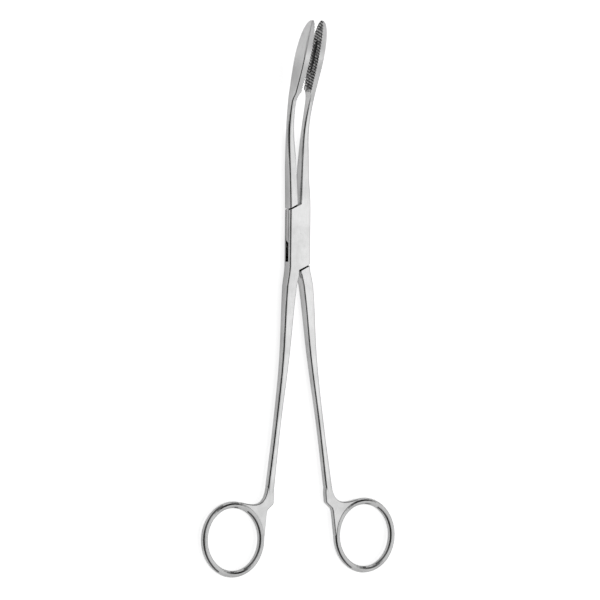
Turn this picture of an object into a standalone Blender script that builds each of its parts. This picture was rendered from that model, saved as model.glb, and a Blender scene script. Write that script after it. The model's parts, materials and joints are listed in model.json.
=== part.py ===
"""Long curved dressing forceps with a box lock, modelled in metres.

The forceps lie on their back. +Y runs towards the tips, +Z up, and the jaws curve up. The joint's axis is the Z
axis, and the back face of the box lies at Z = 0. Both arms are drawn as they lie when the jaws are closed, and
each then turns about the joint by half of the resting opening.
"""

import math
from dataclasses import dataclass

import bmesh
import bpy
from mathutils import Vector

MM = 0.001

# The opening at rest, shared equally by the two arms
REST_OPENING = math.radians(2.2)

# Clearances
LOCK_GAP = 0.30 * MM
SHOULDER_GAP = 0.75 * MM
PIN_GAP = 0.10 * MM
PIN_SEAT_GAP = 0.02 * MM
JAW_GAP = 0.30 * MM

# Box lock
BOX_THICKNESS = 5.4 * MM
BOX_HALF_WIDTH = 5.95 * MM
BOX_HALF_LENGTH = 14.0 * MM
BOX_ROUNDING = 0.95 * MM
SHOULDER_OUTER_Y = 13.1 * MM
SHOULDER_INNER_Y = 16.0 * MM
BOX_SHANK_INNER = 0.45 * MM
BOX_HANDLE_INNER = 0.7 * MM
TONGUE_SHANK_INNER = 1.3 * MM
TONGUE_HANDLE_INNER = 0.0 * MM
TONGUE_THICKNESS = 1.8 * MM
TONGUE_STRAIGHT_END = 1.4 * MM
MORTISE_END = 11.9 * MM
PIN_RADIUS = 1.5 * MM

# Upper shank, between the lock and the jaw
NECK_Y = 31.0 * MM
NECK_INNER = 0.65 * MM
NECK_WIDTH = 4.5 * MM
NECK_THICKNESS = 4.9 * MM
WINDOW_Y = 52.0 * MM
WINDOW_INNER = 1.7 * MM
WINDOW_WIDTH = 3.6 * MM
WINDOW_THICKNESS = 3.3 * MM
STUB_INNER = 2.4 * MM
STUB_WIDTH = 2.9 * MM
STUB_THICKNESS = 4.1 * MM
SHANK_DIP = 0.2 * MM

# Bend of the upper shank and the jaw
BEND_START = 42.0 * MM
BEND_RADIUS = 80.0 * MM
BEND_ANGLE = math.radians(20.0)
JAW_CURVE_RADIUS = 600.0 * MM

# Jaw
JAW_LENGTH = 35.6 * MM
JAW_WIDTH = 8.5 * MM
JAW_BASE_WIDTH = 6.1 * MM
JAW_THICKNESS = 4.2 * MM
JAW_BASE_THICKNESS = 4.55 * MM
JAW_TIP_THICKNESS = 0.9 * MM
JAW_FULL_FROM = 17.0 * MM
JAW_SET = 1.05 * MM
JAW_SET_POWER = 1.5
JAW_EDGE = 0.25 * MM
JAW_EDGE_SHARE = 0.12
JAW_TIP_ROUNDING = 0.4 * MM
JAW_CREASE_ROUNDING = 0.9 * MM
JAW_BASE_ROUNDING = 1.1 * MM
JAW_CREASE_FADES = 16.0 * MM
JAW_SIDE_ROUNDING = 0.62
JAW_CROWN_ROUNDING = 0.46
JAW_NOSE_LENGTH = 22.0 * MM
JAW_NOSE_POWER = 2.1
JAW_SHOULDER_LENGTH = 4.6 * MM
TOOTH_PITCH = 1.37 * MM
TOOTH_DEPTH = 0.5 * MM
TOOTH_CREST = 0.12 * MM
TOOTH_FLARE = 1.5
GROOVE_START = 8.5 * MM
GROOVE_LENGTH = 18.5 * MM
GROOVE_RADIUS = 1.15 * MM
GROOVE_END_SHARE = 0.04

# Handle shank. Its length from the joint to the finger ring's centre places all that lies below the lock
RING_DISTANCE = 143.7 * MM
HANDLE_TOP_Y = -23.0 * MM
HANDLE_TOP_INNER = 1.4 * MM
HANDLE_TOP_WIDTH = 5.85 * MM
HANDLE_TOP_THICKNESS = 5.1 * MM
HANDLE_MID_Y = -0.395 * RING_DISTANCE
HANDLE_MID_INNER = 4.7 * MM
HANDLE_MID_WIDTH = 4.25 * MM
HANDLE_MID_THICKNESS = 4.1 * MM
HANDLE_LOW_Y = -0.63 * RING_DISTANCE
HANDLE_LOW_INNER = 9.15 * MM
HANDLE_LOW_WIDTH = 3.45 * MM
HANDLE_LOW_THICKNESS = 3.5 * MM
HANDLE_END_Y = -0.825 * RING_DISTANCE
HANDLE_END_INNER = 12.2 * MM
HANDLE_END_WIDTH = 4.2 * MM
HANDLE_END_THICKNESS = 3.3 * MM
HANDLE_MID_ROUNDING = 1.3 * MM
HANDLE_END_ROUNDING = 1.5 * MM
SHANK_ROUNDING = 1.0 * MM
WINDOW_ROUNDING = 1.6 * MM
INNER_EDGE_SHARE = 0.7
SUNK_ROUNDING = 0.8 * MM

# Finger ring, with its web and its stop
RING_X = 34.95 * MM
RING_Y = -RING_DISTANCE
RING_HALF_WIDTH = 15.95 * MM
RING_HALF_HEIGHT = 16.4 * MM
RING_WIRE_WIDTH = 3.3 * MM
RING_WIRE_HEIGHT = 3.5 * MM
WEB_THICKNESS = 2.8 * MM
WEB_ROUNDING = 0.6 * MM
STOP_BULGE = 0.35 * MM
STOP_SLOPE = 3.6 * MM
STOP_BOTTOM = 12.9 * MM

# Fineness of the round forms
RING_STEPS = 48
WIRE_SIDES = 12
PIN_SIDES = 32
CORNER_STEPS = 4
SMOOTH_ANGLE = math.radians(32.0)

MID_Z = BOX_THICKNESS / 2
JAW_BASE = BEND_START + BEND_RADIUS * BEND_ANGLE
JAW_TIP = JAW_BASE + JAW_LENGTH
STUB_Y = JAW_BASE - JAW_SHOULDER_LENGTH
CUT_REACH = 2 * BOX_HALF_WIDTH
LOCK_STEP = 0.5 * MM
LOCK_PAST = 3.0 * MM
LOCK_END = BOX_HALF_LENGTH + LOCK_PAST
MORTISE_SIDE_GAP = 1.5 * LOCK_GAP
CUT_HEIGHT = BOX_THICKNESS
QUARTER = math.pi / 2


@dataclass
class Section:
    """One cross-section of an arm: where it lies on the arm, and its form."""

    at: float
    low: float
    high: float
    thickness: float
    low_rounding: tuple
    high_rounding: tuple


def clear_scene():
    """Remove whatever the scene holds."""
    for old in list(bpy.data.objects):
        bpy.data.objects.remove(old, do_unlink=True)


def steel(name, grey, roughness):
    """Return a stainless steel material."""
    material = bpy.data.materials.new(name)
    material.use_nodes = True
    shader = material.node_tree.nodes["Principled BSDF"]
    shader.inputs["Base Color"].default_value = (grey, grey, grey * 1.01, 1.0)
    shader.inputs["Metallic"].default_value = 1.0
    shader.inputs["Roughness"].default_value = roughness
    material.diffuse_color = (grey, grey, grey * 1.01, 1.0)
    return material


def smooth_curve(knots, at):
    """Read a smooth curve through (place, value) knots. It starts straight and ends flat."""
    if at <= knots[0][0]:
        return knots[0][1]
    if at >= knots[-1][0]:
        return knots[-1][1]
    index = max(i for i in range(len(knots) - 1) if knots[i][0] <= at)
    steps = [(b[1] - a[1]) / (b[0] - a[0]) for a, b in zip(knots, knots[1:])]

    def slope(i):
        if i == 0:
            return steps[0]
        if i == len(knots) - 1:
            return 0.0
        before, after = steps[i - 1], steps[i]
        return 0.0 if before * after <= 0 else 2 * before * after / (before + after)

    (x0, y0), (x1, y1) = knots[index], knots[index + 1]
    span = x1 - x0
    t = (at - x0) / span
    rise = (2 * t - 3) * t * t
    start = (1 + rise) * y0 + (t - 1) ** 2 * t * span * slope(index)
    return start - rise * y1 + (t - 1) * t * t * span * slope(index + 1)


def spine(at):
    """Return the arm's centre height point (y, z) and its slope at a length along the arm."""
    dip = SHANK_DIP * math.exp(-(((at - NECK_Y) / (BEND_START - NECK_Y)) ** 2)) if at > 0 else 0.0
    if at <= BEND_START:
        return at, MID_Z - dip, 0.0
    angle = min((at - BEND_START) / BEND_RADIUS, BEND_ANGLE)
    y = BEND_START + BEND_RADIUS * math.sin(angle)
    z = MID_Z - dip + BEND_RADIUS * (1 - math.cos(angle))
    if at <= JAW_BASE:
        return y, z, angle
    more = (at - JAW_BASE) / JAW_CURVE_RADIUS
    y += JAW_CURVE_RADIUS * (math.sin(angle + more) - math.sin(angle))
    z += JAW_CURVE_RADIUS * (math.cos(angle) - math.cos(angle + more))
    return y, z, angle + more


def on_spine(at, x, up):
    """Return the point that lies x to the side of the spine and up across it."""
    y, z, angle = spine(at)
    return Vector((x, y - up * math.sin(angle), z + up * math.cos(angle)))


def section_points(section):
    """Return the section's outline, (x, up) points with four rounded corners."""
    half = section.thickness / 2
    corners = (
        (section.low, -half, section.low_rounding, 2),
        (section.high, -half, section.high_rounding, 3),
        (section.high, half, section.high_rounding, 0),
        (section.low, half, section.low_rounding, 1),
    )
    points = []
    for x, up, (across, along), quarter in corners:
        centre_x = x + across if x == section.low else x - across
        centre_up = up + along if up < 0 else up - along
        for step in range(CORNER_STEPS + 1):
            angle = QUARTER * (quarter + step / CORNER_STEPS)
            points.append((centre_x + across * math.cos(angle), centre_up + along * math.sin(angle)))
    return points


def nose(distance):
    """Return the share of its full size that the jaw has at a distance from its tip."""
    if distance >= JAW_NOSE_LENGTH:
        return 1.0
    return (1 - (1 - distance / JAW_NOSE_LENGTH) ** JAW_NOSE_POWER) ** (1 / JAW_NOSE_POWER)


def jaw_inner(distance):
    """Return how far the jaw's face lies from the middle plane. The tips meet first, as on the real jaws."""
    return JAW_GAP / 2 + JAW_SET * (distance / JAW_LENGTH) ** JAW_SET_POWER


def ease(share):
    """Return a share from 0 to 1 with a soft start and a soft end."""
    share = min(1.0, max(0.0, share))
    return share * share * (3 - 2 * share)


def jaw_section(distance):
    """Return the jaw's section at a distance from the tip: flat inside, and round outside."""
    at = JAW_TIP - distance
    width = arm_thickness(at) * nose(distance)
    full_thickness = upper_outer(at, 0.0) - JAW_GAP / 2
    thickness = JAW_TIP_THICKNESS + (full_thickness - JAW_TIP_THICKNESS) * nose(distance)
    edge = min(JAW_EDGE, JAW_EDGE_SHARE * width)
    full_rounding = shank_rounding(at)
    crease = JAW_TIP_ROUNDING + (full_rounding - JAW_TIP_ROUNDING) * ease(distance / JAW_CREASE_FADES)
    side, crown = min(crease, JAW_SIDE_ROUNDING * thickness), min(crease, JAW_CROWN_ROUNDING * width)
    outer = JAW_GAP / 2 + thickness
    return Section(at, jaw_inner(distance), outer, width, (edge, edge), (side, crown))


def upper_inner(at):
    """Return how far the upper shank's inner side lies from the middle plane. It arches over to the jaw."""
    if at > STUB_Y:
        part = min(1.0, (at - STUB_Y) / JAW_SHOULDER_LENGTH)
        base = jaw_inner(JAW_LENGTH)
        return base + (STUB_INNER - base) * math.sqrt(1 - part ** 2)
    knots = ((BOX_HALF_LENGTH, 0.0), (NECK_Y, NECK_INNER), (WINDOW_Y, WINDOW_INNER), (STUB_Y, STUB_INNER))
    return smooth_curve(knots, at)


def upper_outer(at, flush):
    """Return how far the outer side lies from the middle plane, from the joint up to the jaw's full width."""
    knots = (
        (0.0, BOX_HALF_WIDTH),
        (BOX_HALF_LENGTH, BOX_HALF_WIDTH - flush),
        (NECK_Y, NECK_INNER + NECK_WIDTH),
        (WINDOW_Y, WINDOW_INNER + WINDOW_WIDTH),
        (STUB_Y, STUB_INNER + STUB_WIDTH),
        (JAW_BASE, JAW_GAP / 2 + JAW_BASE_THICKNESS),
        (JAW_TIP - JAW_FULL_FROM, JAW_GAP / 2 + JAW_THICKNESS),
    )
    return smooth_curve(knots, at)


def lower_inner(at):
    """Return how far the handle's inner side lies from the middle plane."""
    knots = (
        (HANDLE_END_Y, HANDLE_END_INNER),
        (HANDLE_LOW_Y, HANDLE_LOW_INNER),
        (HANDLE_MID_Y, HANDLE_MID_INNER),
        (HANDLE_TOP_Y, HANDLE_TOP_INNER),
        (-LOCK_END, 0.0),
    )
    return smooth_curve(knots, at)


def lower_outer(at, flush):
    """Return how far the handle's outer side lies from the middle plane."""
    knots = (
        (HANDLE_END_Y, HANDLE_END_INNER + HANDLE_END_WIDTH),
        (HANDLE_LOW_Y, HANDLE_LOW_INNER + HANDLE_LOW_WIDTH),
        (HANDLE_MID_Y, HANDLE_MID_INNER + HANDLE_MID_WIDTH),
        (HANDLE_TOP_Y, HANDLE_TOP_INNER + HANDLE_TOP_WIDTH),
        (-BOX_HALF_LENGTH, BOX_HALF_WIDTH - flush),
        (0.0, BOX_HALF_WIDTH),
    )
    return smooth_curve(knots, at)


def arm_thickness(at):
    """Return how thick the arm is from back to front. On the jaw that is its full width."""
    knots = (
        (HANDLE_END_Y, HANDLE_END_THICKNESS),
        (HANDLE_LOW_Y, HANDLE_LOW_THICKNESS),
        (HANDLE_MID_Y, HANDLE_MID_THICKNESS),
        (HANDLE_TOP_Y, HANDLE_TOP_THICKNESS),
        (-BOX_HALF_LENGTH, BOX_THICKNESS),
        (BOX_HALF_LENGTH, BOX_THICKNESS),
        (NECK_Y, NECK_THICKNESS),
        (WINDOW_Y, WINDOW_THICKNESS),
        (STUB_Y, STUB_THICKNESS),
        (JAW_BASE, JAW_BASE_WIDTH),
        (JAW_TIP - JAW_FULL_FROM, JAW_WIDTH),
    )
    return smooth_curve(knots, at)


def shank_rounding(at):
    """Return the radius of the arm's outer edges."""
    knots = (
        (HANDLE_END_Y, HANDLE_END_ROUNDING),
        (HANDLE_MID_Y, HANDLE_MID_ROUNDING),
        (HANDLE_TOP_Y, SHANK_ROUNDING),
        (0.0, BOX_ROUNDING),
        (NECK_Y, SHANK_ROUNDING),
        (WINDOW_Y, WINDOW_ROUNDING),
        (JAW_BASE, JAW_BASE_ROUNDING),
        (JAW_TIP - JAW_FULL_FROM, JAW_CREASE_ROUNDING),
    )
    return smooth_curve(knots, at)


def shank_section(at, flush):
    """Return the section between the jaw and the handle's end. It spans the full width in the lock."""
    low = -lower_outer(at, flush) if at < LOCK_END else upper_inner(at)
    high = upper_outer(at, flush) if at > -LOCK_END else -lower_inner(at)
    thickness = arm_thickness(at)
    rounding = shank_rounding(at)
    outer = (rounding, rounding)
    inner = (INNER_EDGE_SHARE * rounding, INNER_EDGE_SHARE * rounding)
    if at < -LOCK_END:
        return Section(at, low, high, thickness, outer, inner)
    if at > LOCK_END:
        towards_jaw = max(0.0, (at - WINDOW_Y) / (JAW_BASE - WINDOW_Y)) ** 2
        edge = inner[0] + (JAW_EDGE - inner[0]) * towards_jaw
        return Section(at, low, high, thickness, (edge, edge), outer)
    return Section(at, low, high, thickness, outer, outer)


def between(start, end, count):
    """Return count evenly spaced values from start up to, but without, end."""
    return [start + (end - start) * step / count for step in range(count)]


def arm_sections(flush):
    """Return every section of the arm, from the jaw's tip to the end of the handle's shank."""
    tip = [JAW_NOSE_LENGTH * share ** 2 for share in between(0.08, 1.0, 11)]
    jaw = between(JAW_NOSE_LENGTH, JAW_LENGTH, 8)
    sections = [jaw_section(distance) for distance in tip + jaw]
    places = [JAW_BASE - JAW_SHOULDER_LENGTH * share ** 2 for share in between(0.0, 1.0, 5)]
    places += between(STUB_Y, WINDOW_Y, 4)
    places += between(WINDOW_Y, LOCK_END + LOCK_STEP, 9)
    places += [LOCK_END + LOCK_STEP, LOCK_END - LOCK_STEP, BOX_HALF_LENGTH, 0.0]
    places += [-BOX_HALF_LENGTH, LOCK_STEP - LOCK_END]
    places += between(-LOCK_END - LOCK_STEP, HANDLE_MID_Y, 7)
    places += between(HANDLE_MID_Y, HANDLE_END_Y, 8)
    sections += [shank_section(place, flush) for place in places]
    return sections + handle_end_sections()


def handle_end_sections():
    """Return the sections with which the shank sinks into the web of the ring."""
    end = shank_section(HANDLE_END_Y, 0.0)
    last_y = RING_Y + STOP_BOTTOM + STOP_SLOPE
    slant = (HANDLE_END_INNER - HANDLE_LOW_INNER) / (HANDLE_LOW_Y - HANDLE_END_Y)
    drift = slant * (HANDLE_END_Y - last_y)
    sunk = WEB_THICKNESS - 2 * LOCK_GAP
    inset = HANDLE_END_WIDTH / 5
    rounding = (SUNK_ROUNDING, SUNK_ROUNDING)
    last = Section(last_y, end.low - drift + inset, end.high - drift - inset, sunk, rounding, rounding)
    return [end, last]


def loft(sections, side):
    """Return a bmesh lofted through the sections, mirrored in X where side is -1."""
    mesh = bmesh.new()
    rings = []
    for section in sections:
        rings.append(
            [mesh.verts.new(on_spine(section.at, side * x, up)) for x, up in section_points(section)]
        )
    for first, second in zip(rings, rings[1:]):
        count = len(first)
        for i in range(count):
            j = (i + 1) % count
            mesh.faces.new((first[i], first[j], second[j], second[i]))
    mesh.faces.new(rings[0])
    mesh.faces.new(rings[-1])
    bmesh.ops.recalc_face_normals(mesh, faces=mesh.faces)
    return mesh


def add_object(name, mesh, material=None):
    """Turn a bmesh into an object of the scene."""
    data = bpy.data.meshes.new(name)
    mesh.to_mesh(data)
    mesh.free()
    made = bpy.data.objects.new(name, data)
    bpy.context.collection.objects.link(made)
    if material:
        data.materials.append(material)
    return made


def as_helper(made, parent):
    """Mark an object as a cutter or a joined piece, which isn't a part of its own."""
    made.hide_render = True
    made.display_type = "WIRE"
    made.parent = parent


def combine(target, tool, operation):
    """Join a helper to an object, or cut the object with it."""
    as_helper(tool, target)
    modifier = target.modifiers.new(tool.name, "BOOLEAN")
    modifier.operation = operation
    modifier.solver = "EXACT"
    modifier.object = tool


def prism(outline, low_z, high_z):
    """Return a bmesh of a plan outline extruded in Z."""
    mesh = bmesh.new()
    bottom = [mesh.verts.new((x, y, low_z)) for x, y in outline]
    top = [mesh.verts.new((x, y, high_z)) for x, y in outline]
    mesh.faces.new(bottom)
    mesh.faces.new(top)
    for i in range(len(outline)):
        j = (i + 1) % len(outline)
        mesh.faces.new((bottom[i], bottom[j], top[j], top[i]))
    bmesh.ops.recalc_face_normals(mesh, faces=mesh.faces)
    return mesh


def tooth_cutters(side):
    """Return the V-shaped notches that leave the teeth across the jaw's inner face."""
    mesh = bmesh.new()
    half = TOOTH_FLARE * (TOOTH_PITCH - TOOTH_CREST) / 2
    count = int(JAW_LENGTH / TOOTH_PITCH)
    for number in range(count):
        distance = TOOTH_PITCH * (number + 0.5)
        at = JAW_TIP - distance
        apex = jaw_inner(distance) + TOOTH_DEPTH
        back = apex - TOOTH_FLARE * TOOTH_DEPTH
        profile = ((apex, 0.0), (back, half), (back, -half))
        ends = []
        for up in (-JAW_WIDTH, JAW_WIDTH):
            points = []
            for x, along in profile:
                y, z, angle = spine(at)
                shift = Vector((0.0, along * math.cos(angle), along * math.sin(angle)))
                points.append(mesh.verts.new(on_spine(at, side * x, up) + shift))
            ends.append(points)
        mesh.faces.new(ends[0])
        mesh.faces.new(ends[1])
        for i in range(3):
            j = (i + 1) % 3
            mesh.faces.new((ends[0][i], ends[0][j], ends[1][j], ends[1][i]))
    bmesh.ops.recalc_face_normals(mesh, faces=mesh.faces)
    return mesh


def groove_cutter(side):
    """Return the round channel along the middle of the jaw's inner face, shallow at its ends."""
    mesh = bmesh.new()
    steps, sides = 12, 10
    rings = []
    for step in range(steps + 1):
        share = GROOVE_END_SHARE + (1 - 2 * GROOVE_END_SHARE) * step / steps
        radius = GROOVE_RADIUS * (1 - abs(2 * share - 1) ** 4)
        distance = GROOVE_START + GROOVE_LENGTH * share
        at = JAW_TIP - distance
        ring = []
        for corner in range(sides):
            angle = 2 * math.pi * (corner + 0.5) / sides
            x = jaw_inner(distance) + radius * math.cos(angle)
            ring.append(mesh.verts.new(on_spine(at, side * x, radius * math.sin(angle))))
        rings.append(ring)
    for first, second in zip(rings, rings[1:]):
        for i in range(sides):
            j = (i + 1) % sides
            mesh.faces.new((first[i], first[j], second[j], second[i]))
    mesh.faces.new(rings[0])
    mesh.faces.new(rings[-1])
    bmesh.ops.recalc_face_normals(mesh, faces=mesh.faces)
    return mesh


def finger_ring(side):
    """Return the ring: a round wire bent to a slightly oval loop."""
    mesh = bmesh.new()
    loops = []
    for step in range(RING_STEPS):
        turn = 2 * math.pi * step / RING_STEPS
        along = Vector((RING_HALF_WIDTH * math.cos(turn), RING_HALF_HEIGHT * math.sin(turn), 0.0))
        out = Vector((RING_HALF_HEIGHT * math.cos(turn), RING_HALF_WIDTH * math.sin(turn), 0.0)).normalized()
        loop = []
        for corner in range(WIRE_SIDES):
            angle = 2 * math.pi * corner / WIRE_SIDES
            point = along + out * (RING_WIRE_WIDTH / 2 * math.cos(angle))
            height = MID_Z + RING_WIRE_HEIGHT / 2 * math.sin(angle)
            loop.append(mesh.verts.new((side * (point.x - RING_X), point.y + RING_Y, height)))
        loops.append(loop)
    for step in range(RING_STEPS):
        first, second = loops[step], loops[(step + 1) % RING_STEPS]
        for i in range(WIRE_SIDES):
            j = (i + 1) % WIRE_SIDES
            mesh.faces.new((first[i], first[j], second[j], second[i]))
    bmesh.ops.recalc_face_normals(mesh, faces=mesh.faces)
    return mesh


def bezier(points, steps):
    """Return steps + 1 points along a cubic curve."""
    a, b, c, d = points
    curve = []
    for step in range(steps + 1):
        t = step / steps
        u = 1 - t
        weights = (u ** 3, 3 * u * u * t, 3 * u * t * t, t ** 3)
        curve.append(tuple(sum(w * p[k] for w, p in zip(weights, (a, b, c, d))) for k in range(2)))
    return curve


def web_outline():
    """Return the web's plan outline in the ring's own frame, +X to the joint: its hidden and its open side."""
    wire = RING_WIRE_WIDTH / 2
    arc = []
    for degrees in range(-6, 79, 7):
        turn = math.radians(degrees)
        arc.append((RING_HALF_WIDTH * math.cos(turn), RING_HALF_HEIGHT * math.sin(turn)))
    top = RING_HALF_HEIGHT + wire
    shank_y = HANDLE_END_Y - RING_Y
    shank_outer = RING_X - HANDLE_END_INNER - HANDLE_END_WIDTH
    shank_inner = RING_X - HANDLE_END_INNER
    inset = LOCK_GAP
    fillet_top = (shank_outer + inset, shank_y)
    fillet = bezier(
        ((0.26 * RING_HALF_WIDTH, top - 0.3 * wire),
         (0.78 * RING_HALF_WIDTH, top - 1.4 * wire),
         (shank_outer - 0.4 * wire, top - 1.6 * wire),
         fillet_top), 8)
    flank_x = RING_HALF_WIDTH + wire + 0.55 * wire
    stop_x = shank_inner - 0.4 * wire + STOP_BULGE
    stop_y = STOP_BOTTOM + STOP_SLOPE
    inner_side = [
        (shank_inner - inset, shank_y),
        (shank_inner - 0.3 * inset, stop_y + 0.55 * (shank_y - stop_y)),
        (stop_x, stop_y + 0.6 * wire),
        (stop_x - 0.15 * wire, stop_y),
        (flank_x + 0.3 * wire, STOP_BOTTOM + 0.5 * wire),
        (flank_x, STOP_BOTTOM - 0.5 * wire),
        (RING_HALF_WIDTH + 0.93 * wire, 0.15 * STOP_BOTTOM),
        (RING_HALF_WIDTH + 0.6 * wire, -0.12 * STOP_BOTTOM),
    ]
    return arc, fillet + inner_side


def ring_web(side):
    """Return the web and stop between shank and ring, its open edges rounded."""
    hidden, open_side = web_outline()
    outline = [(side * (x - RING_X), y + RING_Y) for x, y in hidden + open_side]
    mesh = prism(outline, MID_Z - WEB_THICKNESS / 2, MID_Z + WEB_THICKNESS / 2)
    mesh.verts.ensure_lookup_table()
    edges = []
    for level in (0, len(outline)):
        for i in range(len(hidden), len(outline) - 1):
            edges.append(mesh.edges.get((mesh.verts[level + i], mesh.verts[level + i + 1])))
    bmesh.ops.bevel(
        mesh, geom=edges, offset=WEB_ROUNDING, offset_type="OFFSET", segments=3, profile=0.5,
        affect="EDGES", clamp_overlap=True,
    )
    return mesh


def shoulder_y(x):
    """Return where the upper shoulder's slanted line lies at x, with the box arm's jaw at +X."""
    slope = (SHOULDER_INNER_Y - SHOULDER_OUTER_Y) / (BOX_HALF_WIDTH + BOX_SHANK_INNER)
    return SHOULDER_OUTER_Y + (x + BOX_HALF_WIDTH) * slope


def half_turn(outline):
    """Return the outline turned half round about the joint."""
    return [(-x, -y) for x, y in outline]


def box_shoulder_cut(inner):
    """Return the plan of what is cut from the box arm above its shoulder, beside the other arm's shank."""
    gap = SHOULDER_GAP / 2
    return [
        (-CUT_REACH, shoulder_y(-CUT_REACH) - gap),
        (inner, shoulder_y(inner) - gap),
        (inner, NECK_Y),
        (-CUT_REACH, NECK_Y),
    ]


def tongue_side_cut(inner, shank_inner, shank_y):
    """Return the plan of what is cut from the tongue's side and from the inner side of its shank."""
    run = (shank_inner - inner) / (shank_y - SHOULDER_INNER_Y)
    return [
        (CUT_REACH, TONGUE_STRAIGHT_END),
        (BOX_HALF_WIDTH, TONGUE_STRAIGHT_END),
        (-inner, SHOULDER_INNER_Y),
        (-inner - run * (shank_y - SHOULDER_INNER_Y), shank_y),
        (CUT_REACH, shank_y),
    ]


def mortise_half(inner):
    """Return half of the slot's plan. Its closed end clears the tongue, whose side ends at inner."""
    run = (BOX_HALF_WIDTH + inner) / (SHOULDER_INNER_Y - TONGUE_STRAIGHT_END)

    def tongue_side(y):
        return BOX_HALF_WIDTH - (y - TONGUE_STRAIGHT_END) * run + MORTISE_SIDE_GAP

    past = SHOULDER_INNER_Y + 2 * LOCK_GAP
    return [
        (CUT_REACH, MORTISE_END),
        (tongue_side(MORTISE_END), MORTISE_END),
        (tongue_side(past), past),
        (tongue_side(past), NECK_Y),
        (-CUT_REACH, NECK_Y),
    ]


def rebate_plan():
    """Return the plan between the two shoulders, where the tenon arm is thinned to its tongue."""
    gap = SHOULDER_GAP / 2
    upper = [(x, shoulder_y(x) + gap) for x in (-CUT_REACH, CUT_REACH)]
    return upper + [(-x, -y) for x, y in upper]


def cylinder(radius, low_z, high_z):
    """Return an upright round bar on the joint's axis."""
    outline = []
    for corner in range(PIN_SIDES):
        angle = 2 * math.pi * (corner + 0.5) / PIN_SIDES
        outline.append((radius * math.cos(angle), radius * math.sin(angle)))
    return prism(outline, low_z, high_z)


def whole_arm(name, side, flush, material):
    """Return one arm without its lock: shanks, serrated jaw, web and finger ring."""
    arm = add_object(name, loft(arm_sections(flush), side), material)
    combine(arm, add_object(name + "_teeth", tooth_cutters(side)), "DIFFERENCE")
    combine(arm, add_object(name + "_groove", groove_cutter(side)), "DIFFERENCE")
    combine(arm, add_object(name + "_web", ring_web(side)), "UNION")
    combine(arm, add_object(name + "_ring", finger_ring(side)), "UNION")
    return arm


def bore(arm, gap):
    """Drill the arm for the joint's pin, with a gap all round it."""
    hole = cylinder(PIN_RADIUS + gap, -CUT_HEIGHT, BOX_THICKNESS + CUT_HEIGHT)
    combine(arm, add_object(arm.name + "_bore", hole), "DIFFERENCE")


def shade(made):
    """Shade the object smooth, with its sharp edges kept."""
    made.data.shade_smooth()
    made.data.set_sharp_from_angle(angle=SMOOTH_ANGLE)


def make_box_arm(material):
    """The outer arm: its box is slotted from side to side for the other arm's tongue."""
    arm = whole_arm("box_arm", 1, 0.0, material)
    upper = box_shoulder_cut(BOX_SHANK_INNER)
    lower = half_turn(box_shoulder_cut(BOX_HANDLE_INNER))
    for place, outline in (("upper", upper), ("lower", lower)):
        cutter = prism(outline, -CUT_HEIGHT, BOX_THICKNESS + CUT_HEIGHT)
        combine(arm, add_object(f"box_shoulder_{place}", cutter), "DIFFERENCE")
    half = TONGUE_THICKNESS / 2 + LOCK_GAP
    plan = mortise_half(TONGUE_SHANK_INNER) + half_turn(mortise_half(TONGUE_HANDLE_INNER))
    slot = prism(plan, MID_Z - half, MID_Z + half)
    combine(arm, add_object("box_mortise", slot), "DIFFERENCE")
    bore(arm, PIN_SEAT_GAP)
    shade(arm)
    arm.rotation_euler.z = -REST_OPENING / 2
    return arm


def make_tenon_arm(material):
    """The inner arm: between its shoulders it is thinned to the tongue that turns in the box."""
    flush = BOX_HALF_LENGTH * math.sin(REST_OPENING)
    arm = whole_arm("tenon_arm", -1, flush, material)
    upper = tongue_side_cut(TONGUE_SHANK_INNER, TONGUE_SHANK_INNER, WINDOW_Y)
    lower = half_turn(tongue_side_cut(TONGUE_HANDLE_INNER, HANDLE_TOP_INNER - LOCK_GAP, -HANDLE_TOP_Y))
    for place, outline in (("upper", upper), ("lower", lower)):
        cutter = prism(outline, -CUT_HEIGHT, BOX_THICKNESS + CUT_HEIGHT)
        combine(arm, add_object(f"tongue_side_{place}", cutter), "DIFFERENCE")
    half = TONGUE_THICKNESS / 2
    front = prism(rebate_plan(), MID_Z + half, BOX_THICKNESS + CUT_HEIGHT)
    back = prism(rebate_plan(), -CUT_HEIGHT, MID_Z - half)
    combine(arm, add_object("tongue_front", front), "DIFFERENCE")
    combine(arm, add_object("tongue_back", back), "DIFFERENCE")
    bore(arm, PIN_GAP)
    shade(arm)
    arm.rotation_euler.z = REST_OPENING / 2
    return arm


def make_pin(material, box_arm):
    """The joint's pin, ground flush with both faces of the box."""
    pin = add_object("joint_pin", cylinder(PIN_RADIUS, 0.0, BOX_THICKNESS), material)
    shade(pin)
    pin.parent = box_arm
    return pin


def main():
    """Build the two arms and the pin."""
    clear_scene()
    box_steel = steel("box_arm_steel", 0.66, 0.22)
    pin_steel = steel("pin_steel", 0.66, 0.26)
    box_arm = make_box_arm(box_steel)
    make_tenon_arm(steel("tenon_arm_steel", 0.66, 0.22))
    make_pin(pin_steel, box_arm)


main()
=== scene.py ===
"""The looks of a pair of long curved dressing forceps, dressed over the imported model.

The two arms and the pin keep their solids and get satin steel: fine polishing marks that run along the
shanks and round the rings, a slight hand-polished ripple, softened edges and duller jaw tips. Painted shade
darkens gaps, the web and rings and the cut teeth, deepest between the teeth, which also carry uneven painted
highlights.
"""

import json
import logging
import math
from dataclasses import dataclass, field
from enum import Enum
from typing import Optional, Union

import bpy
from mathutils import Matrix, Vector

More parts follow.
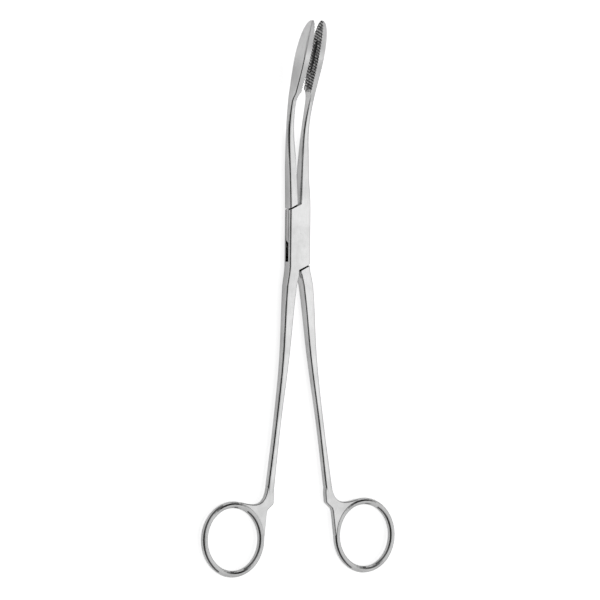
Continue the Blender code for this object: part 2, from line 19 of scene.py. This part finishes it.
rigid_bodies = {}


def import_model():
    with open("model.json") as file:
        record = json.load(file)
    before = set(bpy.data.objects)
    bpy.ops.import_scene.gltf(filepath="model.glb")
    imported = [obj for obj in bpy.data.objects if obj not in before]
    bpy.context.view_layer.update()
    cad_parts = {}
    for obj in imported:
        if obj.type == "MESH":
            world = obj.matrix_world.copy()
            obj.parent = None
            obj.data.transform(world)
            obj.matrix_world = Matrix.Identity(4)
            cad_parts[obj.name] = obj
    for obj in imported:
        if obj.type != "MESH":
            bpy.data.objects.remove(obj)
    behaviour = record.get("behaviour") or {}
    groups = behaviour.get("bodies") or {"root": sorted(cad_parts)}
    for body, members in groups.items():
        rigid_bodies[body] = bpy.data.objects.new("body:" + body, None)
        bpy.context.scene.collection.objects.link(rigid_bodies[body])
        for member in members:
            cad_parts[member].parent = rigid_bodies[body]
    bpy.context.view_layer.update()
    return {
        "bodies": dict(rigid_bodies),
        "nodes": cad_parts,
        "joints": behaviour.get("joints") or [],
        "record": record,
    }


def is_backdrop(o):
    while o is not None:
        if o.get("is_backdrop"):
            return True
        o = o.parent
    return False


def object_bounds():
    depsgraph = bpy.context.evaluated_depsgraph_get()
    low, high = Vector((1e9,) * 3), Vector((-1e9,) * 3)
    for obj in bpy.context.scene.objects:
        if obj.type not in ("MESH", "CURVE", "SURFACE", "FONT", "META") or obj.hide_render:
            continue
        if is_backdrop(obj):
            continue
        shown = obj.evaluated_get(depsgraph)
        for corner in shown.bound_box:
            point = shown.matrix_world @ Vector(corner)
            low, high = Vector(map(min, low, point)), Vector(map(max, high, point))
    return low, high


LOG = logging.getLogger("dressing_forceps")
MM = 0.001

Plug = Union[float, bpy.types.NodeSocket]
Grey = tuple[float, float, float, float]


class Hand(Enum):
    """The side of the instrument on which an arm carries its finger ring."""

    LEFT = -1
    RIGHT = 1


class Maths(Enum):
    """The sums that the material graphs use."""

    ADD = "ADD"
    SUBTRACT = "SUBTRACT"
    MULTIPLY = "MULTIPLY"
    ATAN2 = "ARCTAN2"
    ABSOLUTE = "ABSOLUTE"
    POWER = "POWER"
    SQUARE_ROOT = "SQRT"
    LARGER = "MAXIMUM"


def grey(value: float, alpha: float = 1.0) -> Grey:
    """Return a neutral colour of one brightness."""
    return (value, value, value, alpha)


class Graph:
    """A thin hand on one node tree, so that a finish reads as a list of steps."""

    def __init__(self, tree: bpy.types.NodeTree) -> None:
        """Empty the tree and keep it.

        Args:
            tree: the node tree of a material or of the world.
        """
        self.tree = tree
        self.tree.nodes.clear()

    def add(self, kind: str, **settings: object) -> bpy.types.Node:
        """Add one node.

        Args:
            kind: the node's type name, without its ShaderNode prefix.
            settings: the node's own properties, set as they are given.

        Returns:
            The new node.
        """
        node = self.tree.nodes.new("ShaderNode" + kind)
        for name, value in settings.items():
            setattr(node, name, value)
        return node

    def put(self, socket: bpy.types.NodeSocket, value: Plug) -> None:
        """Give a socket a constant, or link it to another node's output."""
        if isinstance(value, bpy.types.NodeSocket):
            self.tree.links.new(value, socket)
        else:
            socket.default_value = value

    def sum(self, kind: Maths, first: Plug, second: Plug = 0.0) -> bpy.types.NodeSocket:
        """Add one sum and return its result.

        Args:
            kind: which sum it is.
            first: the left value, or the only one.
            second: the right value.

        Returns:
            The output socket.
        """
        node = self.add("Math", operation=kind.value)
        self.put(node.inputs[0], first)
        self.put(node.inputs[1], second)
        return node.outputs[0]

    def step(
        self, value: Plug, start: float, end: float, low: float = 0.0, high: float = 1.0
    ) -> bpy.types.NodeSocket:
        """Turn a value smoothly from low to high while it goes from start to end.

        Args:
            value: the value that is read.
            start: where the turn begins.
            end: where the turn is complete.
            low: the result before the turn.
            high: the result after it.

        Returns:
            The output socket.
        """
        node = self.add("MapRange", interpolation_type="SMOOTHSTEP")
        names = ("Value", "From Min", "From Max", "To Min", "To Max")
        for name, given in zip(names, (value, start, end, low, high)):
            self.put(node.inputs[name], given)
        return node.outputs[0]

    def blend(self, share: Plug, first: Plug, second: Plug) -> bpy.types.NodeSocket:
        """Mix two numbers by a share and return the result."""
        node = self.add("Mix", data_type="FLOAT")
        self.put(node.inputs[0], share)
        self.put(node.inputs[2], first)
        self.put(node.inputs[3], second)
        return node.outputs[0]

    def vector(self, x: Plug, y: Plug, z: Plug) -> bpy.types.NodeSocket:
        """Join three numbers to a vector."""
        node = self.add("CombineXYZ")
        for socket, value in zip(node.inputs, (x, y, z)):
            self.put(socket, value)
        return node.outputs[0]

    def split(self, vector: bpy.types.NodeSocket) -> tuple[bpy.types.NodeSocket, ...]:
        """Part a vector into its three numbers.

        Args:
            vector: the vector that is parted.

        Returns:
            The x, y and z outputs.
        """
        node = self.add("SeparateXYZ")
        self.put(node.inputs[0], vector)
        return tuple(node.outputs)


@dataclass(frozen=True)
class Pattern:
    """One noise pattern: how many lumps fit in a unit, how many finer layers it has, and their strength."""

    scale: float
    detail: float = 1.0
    rough: float = 0.5

    def read(self, graph: Graph, at: bpy.types.NodeSocket) -> bpy.types.NodeSocket:
        """Add the pattern to a graph.

        Args:
            graph: the material's graph.
            at: where the pattern is read.

        Returns:
            The pattern's value, from 0 to 1.
        """
        node = graph.add("TexNoise")
        graph.put(node.inputs["Vector"], at)
        node.inputs["Scale"].default_value = self.scale
        node.inputs["Detail"].default_value = self.detail
        node.inputs["Roughness"].default_value = self.rough
        return node.outputs["Fac"]


@dataclass(frozen=True)
class Play:
    """How far a pattern pushes a value up and down, and over which part of the pattern it turns."""

    start: float
    end: float
    reach: float

    def of(self, graph: Graph, pattern: bpy.types.NodeSocket) -> bpy.types.NodeSocket:
        """Return the push, from minus the reach to the reach.

        Args:
            graph: the material's graph.
            pattern: the pattern's value.

        Returns:
            The push.
        """
        return graph.step(pattern, self.start, self.end, -self.reach, self.reach)


@dataclass(frozen=True)
class RingPlace:
    """Where an arm's finger ring lies, so that its polishing marks can run round it."""

    centre_x: float
    centre_y: float = -143.0 * MM
    starts_y: float = -126.0 * MM
    all_y: float = -130.0 * MM
    mark_radius: float = 16.0 * MM


@dataclass(frozen=True)
class ToothPlace:
    """Where an arm's cut teeth lie, seen along the arm and by the way in which they face."""

    faces_x: float
    starts_y: float = 68.6 * MM
    all_y: float = 69.4 * MM
    reach: float = 3.2 * MM
    reach_fade: float = 0.4 * MM
    turned_from: float = 0.25
    turned_fully: float = 0.6


@dataclass(frozen=True)
class SatinSteel:
    """Stainless steel with a satin polish, as a surgical instrument has it."""

    name: str
    brightness: float = 0.62
    roughness: float = 0.09
    roughness_play: float = 0.05
    marks: Pattern = Pattern(1.0, 3.0, 0.6)
    cloud: Pattern = Pattern(95.0, 3.0, 0.55)
    ripple: Pattern = Pattern(140.0, 1.0, 0.4)
    mark_tint: Play = Play(0.2, 0.8, 0.03)
    cloud_tint: Play = Play(0.3, 0.7, 0.05)
    mark_sheen: Play = Play(0.25, 0.75, 0.5)
    cloud_sheen: Play = Play(0.3, 0.7, 0.5)
    marks_across: float = 5200.0
    marks_along: float = 160.0
    mark_depth: float = 0.0025 * MM
    ripple_depth: float = 0.03 * MM
    edge_radius: float = 0.18 * MM
    edge_samples: int = 6
    flush_to: float = 2.2 * MM
    flush_fade: float = 1.0 * MM
    # Painted light on the cut teeth: a dark colour as painted shade, painted highlights on their tops, and
    # painted shade between them.
    tooth_shade_brightness: float = 0.27
    tooth_roughness: float = 0.24
    painted_glints: Pattern = Pattern(900.0)
    painted_glint_from: float = 0.35
    painted_glint_full: float = 0.65
    painted_glint_play: float = 0.42
    valley_shade_reach: float = 0.7 * MM
    valley_shade_depth: float = 3.2
    # Painted shade from the web onto the ring.
    ring_shade_share: float = 0.90
    ring_shade_from_y: float = -112.0 * MM
    ring_shade_to_y: float = -124.0 * MM
    # Painted shade in gaps and tight corners, where other surfaces are near.
    crevice_shade_reach: float = 1.6 * MM
    crevice_shade_depth: float = 1.6
    occlusion_shade_samples: int = 8
    tip_roughness: float = 0.74
    tip_brightness: float = 0.92
    tip_starts_y: float = 80.0 * MM
    tip_all_y: float = 91.0 * MM

    def make(
        self, ring: Optional[RingPlace] = None, teeth: Optional[ToothPlace] = None
    ) -> bpy.types.Material:
        """Make the material.

        Args:
            ring: where the finger ring lies, for an arm.
            teeth: where the teeth lie, for an arm.

        Returns:
            The material, ready for a node's slot.
        """
        material = bpy.data.materials.new(self.name)
        material.use_nodes = True
        graph = Graph(material.node_tree)
        place = graph.add("TexCoord").outputs["Object"]
        marks = self.marks.read(graph, self.along(graph, place, ring))
        cloud = self.cloud.read(graph, place)
        ripple = self.ripple.read(graph, place)
        tint = graph.sum(Maths.ADD, self.cloud_tint.of(graph, cloud), self.mark_tint.of(graph, marks))
        shade = graph.sum(Maths.ADD, tint, self.brightness)
        rough = self.sheen(graph, marks, cloud)
        if teeth is not None:
            cut = self.cut_face(graph, place, teeth)
            # On the cut teeth the colour carries painted shade and painted highlights.
            shade = graph.blend(cut, shade, self.tooth_painted_light(graph, place))
            rough = graph.blend(cut, rough, self.tooth_roughness)
            tip = self.tip(graph, place, cut)
            shade = graph.blend(tip, shade, graph.sum(Maths.ADD, tint, self.tip_brightness))
            rough = graph.blend(tip, rough, self.tip_roughness)
        # Painted shade: the colour darkens in gaps and tight corners.
        crevice_shade = self.occlusion_shade(graph, self.crevice_shade_reach, self.crevice_shade_depth)
        shade = graph.sum(Maths.MULTIPLY, shade, crevice_shade)
        # Painted shade: the colour darkens from the web onto the ring.
        shade = graph.sum(Maths.MULTIPLY, shade, self.ring_painted_shade(graph, place))
        shader = graph.add("BsdfPrincipled")
        shader.inputs["Metallic"].default_value = 1.0
        graph.put(shader.inputs["Base Color"], graph.vector(shade, shade, shade))
        graph.put(shader.inputs["Roughness"], rough)
        radius = self.soft_radius(graph, place)
        graph.put(shader.inputs["Normal"], self.surface(graph, radius, marks, ripple))
        out = graph.add("OutputMaterial")
        graph.put(out.inputs["Surface"], shader.outputs[0])
        return material

    def sheen(
        self, graph: Graph, marks: bpy.types.NodeSocket, cloud: bpy.types.NodeSocket
    ) -> bpy.types.NodeSocket:
        """Return the polish's roughness, which plays with the marks and in soft clouds.

        Args:
            graph: the material's graph.
            marks: the pattern of fine marks.
            cloud: the pattern of the clouds.

        Returns:
            The roughness.
        """
        play = graph.sum(Maths.ADD, self.mark_sheen.of(graph, marks), self.cloud_sheen.of(graph, cloud))
        play = graph.sum(Maths.MULTIPLY, play, self.roughness_play)
        return graph.sum(Maths.ADD, play, self.roughness)

    def along(
        self, graph: Graph, place: bpy.types.NodeSocket, ring: Optional[RingPlace]
    ) -> bpy.types.NodeSocket:
        """Return coordinates in which the polishing marks are long and thin.

        Args:
            graph: the material's graph.
            place: the object's own coordinates.
            ring: where the marks turn to run round a ring, if there is one.

        Returns:
            The stretched coordinates.
        """
        x, y, z = graph.split(place)
        across, run = x, y
        if ring is not None:
            side = graph.sum(Maths.SUBTRACT, x, ring.centre_x)
            rise = graph.sum(Maths.SUBTRACT, y, ring.centre_y)
            squares = [graph.sum(Maths.MULTIPLY, part, part) for part in (side, rise)]
            distance = graph.sum(Maths.SQUARE_ROOT, graph.sum(Maths.ADD, squares[0], squares[1]))
            turn = graph.sum(Maths.MULTIPLY, graph.sum(Maths.ATAN2, side, rise), ring.mark_radius)
            share = graph.step(y, ring.all_y, ring.starts_y, 1.0, 0.0)
            across = graph.blend(share, across, distance)
            run = graph.blend(share, run, turn)
        fine = graph.sum(Maths.MULTIPLY, across, self.marks_across)
        long = graph.sum(Maths.MULTIPLY, run, self.marks_along)
        deep = graph.sum(Maths.MULTIPLY, z, self.marks_across)
        return graph.vector(fine, long, deep)

    def occlusion_shade(self, graph: Graph, reach: float, depth: float) -> bpy.types.NodeSocket:
        """Return 1 on open surfaces, and less where the surface is hemmed in; it darkens the colour as
        painted shade.

        Args:
            graph: the material's graph.
            reach: how near another surface must be to count.
            depth: how strongly it counts.

        Returns:
            The share.
        """
        node = graph.add("AmbientOcclusion", samples=self.occlusion_shade_samples)
        node.inputs["Distance"].default_value = reach
        return graph.sum(Maths.POWER, node.outputs["AO"], depth)

    def ring_painted_shade(self, graph: Graph, place: bpy.types.NodeSocket) -> bpy.types.NodeSocket:
        """Return 1 along the arm, and less from the web onto its ring: painted shade that darkens the colour
        there.

        Args:
            graph: the material's graph.
            place: the object's own coordinates.

        Returns:
            The share.
        """
        _, y, _ = graph.split(place)
        return graph.step(y, self.ring_shade_to_y, self.ring_shade_from_y, self.ring_shade_share, 1.0)

    def tip(
        self, graph: Graph, place: bpy.types.NodeSocket, cut: bpy.types.NodeSocket
    ) -> bpy.types.NodeSocket:
        """Return how far the jaw's rounded tip has the duller finish, from 0 to 1.

        Args:
            graph: the material's graph.
            place: the object's own coordinates.
            cut: the mask of the cut teeth, which keep their own finish.

        Returns:
            The mask.
        """
        _, y, _ = graph.split(place)
        dull = graph.step(y, self.tip_starts_y, self.tip_all_y)
        return graph.sum(Maths.MULTIPLY, dull, graph.sum(Maths.SUBTRACT, 1.0, cut))

    def cut_face(
        self, graph: Graph, place: bpy.types.NodeSocket, teeth: ToothPlace
    ) -> bpy.types.NodeSocket:
        """Return 1 on the cut teeth of the jaw's inner face, and 0 elsewhere.

        Args:
            graph: the material's graph.
            place: the object's own coordinates.
            teeth: where the teeth lie.

        Returns:
            The mask.
        """
        x, y, _ = graph.split(place)
        facing, _, _ = graph.split(graph.add("TexCoord").outputs["Normal"])
        inward = graph.sum(Maths.MULTIPLY, facing, teeth.faces_x)
        turned = graph.step(inward, teeth.turned_from, teeth.turned_fully)
        on_jaw = graph.step(y, teeth.starts_y, teeth.all_y)
        aside = graph.sum(Maths.ABSOLUTE, x)
        near = graph.step(aside, teeth.reach, teeth.reach + teeth.reach_fade, 1.0, 0.0)
        mask = graph.sum(Maths.MULTIPLY, turned, on_jaw)
        return graph.sum(Maths.MULTIPLY, mask, near)

    def tooth_painted_light(self, graph: Graph, place: bpy.types.NodeSocket) -> bpy.types.NodeSocket:
        """Return the teeth's painted light: a dark colour as painted shade, deepest between the teeth, and
        uneven painted highlights on top.

        Args:
            graph: the material's graph.
            place: the object's own coordinates.

        Returns:
            The brightness.
        """
        # Painted highlights: noise lifts the teeth's dark colour in uneven spots.
        low, high = self.tooth_shade_brightness * self.painted_glint_play, self.tooth_shade_brightness / self.painted_glint_play
        painted_crest_light = graph.step(self.painted_glints.read(graph, place), self.painted_glint_from, self.painted_glint_full, low, high)
        # Painted shade: the colour darkens further where the teeth hem each other in.
        painted_valley_shade = self.occlusion_shade(graph, self.valley_shade_reach, self.valley_shade_depth)
        return graph.sum(Maths.MULTIPLY, painted_crest_light, painted_valley_shade)

    def soft_radius(self, graph: Graph, place: bpy.types.NodeSocket) -> bpy.types.NodeSocket:
        """Return the radius to which edges look worn. It is 0 round the pin, which was ground flush.

        Args:
            graph: the material's graph.
            place: the object's own coordinates.

        Returns:
            The radius.
        """
        x, y, _ = graph.split(place)
        squares = [graph.sum(Maths.MULTIPLY, part, part) for part in (x, y)]
        distance = graph.sum(Maths.SQUARE_ROOT, graph.sum(Maths.ADD, squares[0], squares[1]))
        return graph.step(distance, self.flush_to, self.flush_to + self.flush_fade, 0.0, self.edge_radius)

    def surface(
        self,
        graph: Graph,
        radius: bpy.types.NodeSocket,
        marks: bpy.types.NodeSocket,
        ripple: bpy.types.NodeSocket,
    ) -> bpy.types.NodeSocket:
        """Return the surface normal with softened edges, polishing ripple and fine marks.

        Args:
            graph: the material's graph.
            radius: the radius to which edges are softened.
            marks: the pattern of fine marks.
            ripple: the pattern of the ripple.

        Returns:
            The normal.
        """
        edges = graph.add("Bevel", samples=self.edge_samples)
        graph.put(edges.inputs["Radius"], radius)
        wave = graph.add("Bump")
        wave.inputs["Distance"].default_value = self.ripple_depth
        graph.put(wave.inputs["Height"], ripple)
        graph.put(wave.inputs["Normal"], edges.outputs[0])
        fine = graph.add("Bump")
        fine.inputs["Distance"].default_value = self.mark_depth
        graph.put(fine.inputs["Height"], marks)
        graph.put(fine.inputs["Normal"], wave.outputs[0])
        return fine.outputs[0]


@dataclass
class ForcepsArm:
    """One arm of the forceps: jaw, shanks, its half of the lock, and a finger ring."""

    node_name: str
    ring_hand: Hand
    ring_x: float = 37.7 * MM
    finish: SatinSteel = field(default_factory=lambda: SatinSteel("satin_steel"))

    def dress(self, frame: dict) -> None:
        """Give the arm's node its steel.
        """
        ring = RingPlace(self.ring_hand.value * self.ring_x)
        teeth = ToothPlace(faces_x=float(self.ring_hand.value))
        node = frame["nodes"][self.node_name]
        node.material_slots[0].material = self.finish.make(ring, teeth)
        LOG.info("%s: satin steel, ring on the %s", self.node_name, self.ring_hand.name.lower())


@dataclass
class JointPin:
    """The pin of the box lock, ground flush with the box."""

    node_name: str = "joint_pin"
    finish: SatinSteel = field(default_factory=lambda: SatinSteel("ground_pin_steel", roughness=0.12))

    def dress(self, frame: dict) -> None:
        """Give the pin its steel.
        """
        node = frame["nodes"][self.node_name]
        node.material_slots[0].material = self.finish.make()
        LOG.info("%s: ground steel", self.node_name)


@dataclass
class PhotoCamera:
    """The camera at the photograph's place: square above the instrument, and tilted to its left."""

    tilt: float = math.radians(34.0)
    roll: float = math.radians(0.27)
    distance: float = 2.6
    pixels_per_metre: float = 2100.0
    picture_pixels: float = 600.0
    joint_pixel: tuple[float, float] = (297.5, 237.0)
    joint_height: float = 2.7 * MM
    sensor: float = 36.0
    near: float = 0.1
    far: float = 20.0

    def place(self) -> bpy.types.Object:
        """Make the camera, put it in place and make it the scene's own.

        Returns:
            The camera object.
        """
        back = Vector((-math.sin(self.tilt), 0.0, math.cos(self.tilt)))
        side = Vector((math.cos(self.tilt), 0.0, math.sin(self.tilt)))
        up = Vector((0.0, 1.0, 0.0))
        right = side * math.cos(self.roll) - up * math.sin(self.roll)
        top = side * math.sin(self.roll) + up * math.cos(self.roll)
        middle = self.picture_pixels / 2
        aside = (middle - self.joint_pixel[0]) / self.pixels_per_metre
        below = (middle - self.joint_pixel[1]) / self.pixels_per_metre
        target = Vector((0.0, 0.0, self.joint_height)) + right * aside - top * below
        data = bpy.data.cameras.new("camera")
        data.sensor_width = self.sensor
        data.lens = self.sensor * self.distance * self.pixels_per_metre / self.picture_pixels
        data.clip_start = self.near
        data.clip_end = self.far
        camera = bpy.data.objects.new("camera", data)
        turn = Matrix((right, top, back)).transposed().to_4x4()
        camera.matrix_world = Matrix.Translation(target + back * self.distance) @ turn
        bpy.context.scene.collection.objects.link(camera)
        bpy.context.scene.camera = camera
        return camera


@dataclass(frozen=True)
class Lamp:
    """One soft lamp: where it hangs, how large it is and how bright."""

    name: str
    place: tuple[float, float, float]
    size: float
    power: float

    def hang(self) -> bpy.types.Object:
        """Make the lamp and turn it towards the instrument.

        Returns:
            The lamp object.
        """
        data = bpy.data.lights.new(self.name, "AREA")
        data.shape = "DISK"
        data.size = self.size
        data.energy = self.power
        lamp = bpy.data.objects.new(self.name, data)
        lamp.location = self.place
        lamp.rotation_euler = (-Vector(self.place)).to_track_quat("-Z", "Y").to_euler()
        bpy.context.scene.collection.objects.link(lamp)
        return lamp


@dataclass(frozen=True)
class SoftPanel:
    """A large bright panel on the right of the tent. It ends over the instrument and at its far side."""

    left_edge: float = 0.0
    far_edge: float = 0.36
    edge_fade: float = 0.05
    near_dimming: float = 0.86
    brightness: float = 1.10

    def shine(
        self, graph: Graph, x: bpy.types.NodeSocket, y: bpy.types.NodeSocket
    ) -> bpy.types.NodeSocket:
        """Return the panel's brightness in a direction, and 0 outside it.

        Args:
            graph: the world's graph.
            x: how far the direction points to the right.
            y: how far it points to the jaws' side.

        Returns:
            The brightness.
        """
        fade = self.edge_fade
        right = graph.step(x, self.left_edge - fade, self.left_edge + fade)
        near = graph.step(y, self.far_edge - fade, self.far_edge + fade, 1.0, 0.0)
        dimmed = graph.step(y, -1.0, 0.0, self.near_dimming * self.brightness, self.brightness)
        return graph.sum(Maths.MULTIPLY, graph.sum(Maths.MULTIPLY, right, near), dimmed)


@dataclass
class Studio:
    """The pale floor, the low bright walls round it, the haze, the soft panel and the dark room over it."""

    floor_half: float = 3.0
    floor_drop: float = 0.05 * MM
    floor_grey: float = 0.80
    floor_lift: float = 0.84
    floor_in_steel: float = 0.56
    wall_grey: float = 0.95
    wall_lean: tuple[float, float, float] = (0.04, -0.06, 1.0)
    wall_top: float = 0.19
    wall_fade: float = 0.08
    haze_grey: float = 0.17
    haze_top: float = 0.52
    haze_fade: float = 0.16
    room_grey: float = 0.02
    panel: SoftPanel = SoftPanel()
    lamps: tuple[Lamp, ...] = (Lamp("key_lamp", (1.1, -0.35, 1.7), 1.3, 1.2),)

    def build(self) -> None:
        """Make the floor, the tent and the lamps."""
        self.lay_floor()
        self.light_tent()
        for lamp in self.lamps:
            lamp.hang()
        LOG.info("studio: floor, tent and %d lamp", len(self.lamps))

    def lay_floor(self) -> None:
        """Lay the floor just under the instrument. It keeps the instrument's shadow."""
        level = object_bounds()[0].z - self.floor_drop
        half = self.floor_half
        corners = [(-half, -half, level), (half, -half, level), (half, half, level), (-half, half, level)]
        mesh = bpy.data.meshes.new("floor")
        mesh.from_pydata(corners, [], [(0, 1, 2, 3)])
        floor = bpy.data.objects.new("floor", mesh)
        bpy.context.scene.collection.objects.link(floor)
        mesh.materials.append(self.floor_paint())
        floor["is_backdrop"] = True

    def floor_paint(self) -> bpy.types.Material:
        """Return the floor's white paint, which shows as plain white to the camera and in the steel.

        Returns:
            The material.
        """
        material = bpy.data.materials.new("floor_white")
        material.use_nodes = True
        graph = Graph(material.node_tree)
        paint = graph.add("BsdfDiffuse")
        paint.inputs["Color"].default_value = grey(self.floor_grey)
        lift = graph.add("Emission")
        path = graph.add("LightPath")
        mirrored = graph.sum(Maths.LARGER, path.outputs["Is Glossy Ray"], path.outputs["Is Transmission Ray"])
        mirrored = graph.sum(Maths.MULTIPLY, mirrored, self.floor_in_steel)
        seen = graph.sum(Maths.LARGER, path.outputs["Is Camera Ray"], mirrored)
        graph.put(lift.inputs["Strength"], graph.sum(Maths.MULTIPLY, seen, self.floor_lift))
        both = graph.add("AddShader")
        graph.put(both.inputs[0], paint.outputs[0])
        graph.put(both.inputs[1], lift.outputs[0])
        out = graph.add("OutputMaterial")
        graph.put(out.inputs["Surface"], both.outputs[0])
        return material

    def light_tent(self) -> None:
        """Make the world: bright walls above the floor, a dim haze, the soft panel and the dark room."""
        world = bpy.data.worlds.new("tent")
        world.use_nodes = True
        bpy.context.scene.world = world
        graph = Graph(world.node_tree)
        view = graph.add("TexCoord").outputs["Generated"]
        x, y, _ = graph.split(view)
        height = graph.add("VectorMath", operation="DOT_PRODUCT")
        graph.put(height.inputs[0], view)
        height.inputs[1].default_value = self.wall_lean
        rim = self.wall_top - self.wall_fade
        wall = graph.step(height.outputs["Value"], rim, self.wall_top, self.wall_grey, 0.0)
        haze_rim = self.haze_top - self.haze_fade
        haze = graph.step(height.outputs["Value"], haze_rim, self.haze_top, self.haze_grey, 0.0)
        tent = graph.sum(Maths.LARGER, wall, haze)
        strength = graph.sum(Maths.LARGER, tent, self.panel.shine(graph, x, y))
        light = graph.add("Background")
        graph.put(light.inputs["Strength"], graph.sum(Maths.ADD, strength, self.room_grey))
        out = graph.add("OutputWorld")
        graph.put(out.inputs["Surface"], light.outputs[0])


@dataclass
class DressingForceps:
    """The whole instrument and the picture made of it."""

    frame: dict
    box_arm: ForcepsArm = field(default_factory=lambda: ForcepsArm(
        "box_arm", Hand.LEFT, finish=SatinSteel("box_arm_satin")))
    tenon_arm: ForcepsArm = field(default_factory=lambda: ForcepsArm(
        "tenon_arm", Hand.RIGHT, finish=SatinSteel("tenon_arm_satin")))
    joint_pin: JointPin = field(default_factory=JointPin)
    studio: Studio = field(default_factory=Studio)
    camera: PhotoCamera = field(default_factory=PhotoCamera)

    def build(self) -> None:
        """Dress every piece, then set up the studio and the camera."""
        for piece in (self.box_arm, self.tenon_arm, self.joint_pin):
            piece.dress(self.frame)
        self.studio.build()
        self.camera.place()


def main() -> None:
    """Dress the forceps."""
    logging.basicConfig(level=logging.INFO, format="%(message)s")
    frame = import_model()
    scene = bpy.context.scene
    scene.view_settings.view_transform = "Standard"
    DressingForceps(frame).build()


if __name__ == "__main__":
    main()
